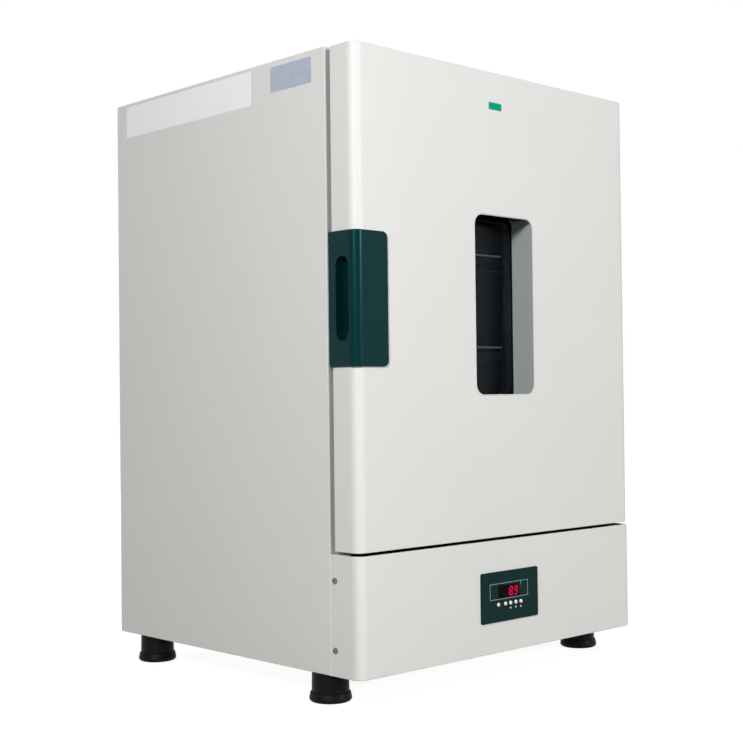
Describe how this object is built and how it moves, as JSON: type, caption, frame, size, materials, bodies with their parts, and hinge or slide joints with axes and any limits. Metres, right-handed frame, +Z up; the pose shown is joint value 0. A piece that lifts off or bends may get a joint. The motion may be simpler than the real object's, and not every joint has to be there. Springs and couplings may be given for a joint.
{
  "type": "drying oven",
  "caption": "Free-standing laboratory drying oven: hinged insulated door with a tall window and wrap-round handle, wire shelves, fan and a front controller below.",
  "frame": {"origin": "on the floor under the middle of the cabinet's width and of the whole depth", "axes": "+X to the right as seen from the front, +Y from the front to the back, +Z up"},
  "size_m": [0.579, 0.5536, 0.8623],
  "materials": {
    "powder_coat": "satin off-white powder coat",
    "zinc_sheet": "zinc plated",
    "stainless": "brushed",
    "shelf_wire": "polished",
    "hinge_steel": "nickel plated",
    "screw_steel": "nickel plated",
    "mineral_wool": "matt fibre",
    "foot_rubber": "matt black",
    "silicone": "matt",
    "green_plastic": "satin dark green",
    "fascia_plastic": "satin dark green",
    "black_plastic": "satin black",
    "button_white": "gloss",
    "display_smoke": "smoked gloss",
    "lamp_red": "gloss",
    "board_green": "solder mask",
    "pane_glass": "clear",
    "magnet_dark": "dark ferrite",
    "motor_metal": "painted",
    "sink_aluminium": "anodised"
  },
  "bodies": {
    "cabinet": {"air_baffle": "stainless", "base_plate": "zinc_sheet", "cabinet_hinge_leaves": "hinge_steel", "cabinet_screws": "screw_steel", "cable_gland": "black_plastic", "compartment_divider": "zinc_sheet", "controller_board": "board_green", "controller_fascia": "fascia_plastic", "controller_housing": "black_plastic", "display_lens": "display_smoke", "exhaust_tube": "stainless", "fan_motor": "motor_metal", "foot_front_left": "foot_rubber", "foot_front_right": "foot_rubber", "foot_rear_left": "foot_rubber", "foot_rear_right": "foot_rubber", "foot_screws": "screw_steel", "front_frame": "powder_coat", "heater_element": "stainless", "hinge_pins": "hinge_steel", "indicator_lamps": "lamp_red", "inner_chamber": "stainless", "insulation": "mineral_wool", "led_display": "display_smoke", "left_side_panel": "powder_coat", "lower_front_panel": "powder_coat", "magnet_catches": "magnet_dark", "motor_bracket": "zinc_sheet", "panel_brackets": "zinc_sheet", "power_switch_frame": "black_plastic", "rear_cover": "powder_coat", "relay_on_heat_sink": "sink_aluminium", "right_side_panel": "powder_coat", "shelf_runners": "stainless", "shelf_uprights": "stainless", "temperature_probe": "stainless", "top_panel": "powder_coat"},
    "door": {"door_shell": "powder_coat", "door_inner_plate": "powder_coat", "door_inner_pan": "stainless", "door_insulation": "mineral_wool", "window_frame": "stainless", "window_panes": "pane_glass", "window_spacer": "black_plastic", "door_gasket": "silicone", "door_handle": "green_plastic", "door_hinge_leaves": "hinge_steel", "door_leaf_screws": "screw_steel", "keeper_plates": "hinge_steel"},
    "fan": {"fan_impeller": "stainless", "fan_shaft": "stainless"},
    "damper": {"damper_cap": "black_plastic"},
    "rocker": {"power_rocker": "black_plastic"},
    "upper_rack": {"upper_shelf": "shelf_wire"},
    "lower_rack": {"lower_shelf": "shelf_wire"},
    "key_1": {"button_1": "button_white"},
    "key_2": {"button_2": "button_white"},
    "key_3": {"button_3": "button_white"},
    "key_4": {"button_4": "button_white"},
    "key_5": {"button_5": "button_white"}
  },
  "joints": [
    {"name": "door_hinge", "type": "hinge", "parent": "cabinet", "child": "door", "pos_m": [0.288, -0.2255, 0.517], "axis": [0, 0, 1], "range_deg": [0, 120]},
    {"name": "fan_spin", "type": "hinge", "parent": "cabinet", "child": "fan", "pos_m": [0, 0.1395, 0.517], "axis": [0, 1, 0], "continuous": true},
    {"name": "damper_turn", "type": "hinge", "parent": "cabinet", "child": "damper", "pos_m": [0, -0.0205, 0.849], "axis": [0, 0, 1], "range_deg": [0, 45]},
    {"name": "power_rocker_tilt", "type": "hinge", "parent": "cabinet", "child": "rocker", "pos_m": [0.21, 0.2577, 0.119], "axis": [-1, 0, 0], "range_deg": [0, 16]},
    {"name": "upper_shelf_slide", "type": "slide", "parent": "cabinet", "child": "upper_rack", "axis": [0, -1, 0], "range_m": [0, 0.018]},
    {"name": "lower_shelf_slide", "type": "slide", "parent": "cabinet", "child": "lower_rack", "axis": [0, -1, 0], "range_m": [0, 0.018]},
    {"name": "button_1_press", "type": "slide", "parent": "cabinet", "child": "key_1", "axis": [0, 1, 0], "range_m": [0, 0.0008], "stiffness_N_per_m": 700},
    {"name": "button_2_press", "type": "slide", "parent": "cabinet", "child": "key_2", "axis": [0, 1, 0], "range_m": [0, 0.0008], "stiffness_N_per_m": 700},
    {"name": "button_3_press", "type": "slide", "parent": "cabinet", "child": "key_3", "axis": [0, 1, 0], "range_m": [0, 0.0008], "stiffness_N_per_m": 700},
    {"name": "button_4_press", "type": "slide", "parent": "cabinet", "child": "key_4", "axis": [0, 1, 0], "range_m": [0, 0.0008], "stiffness_N_per_m": 700},
    {"name": "button_5_press", "type": "slide", "parent": "cabinet", "child": "key_5", "axis": [0, 1, 0], "range_m": [0, 0.0008], "stiffness_N_per_m": 700}
  ]
}
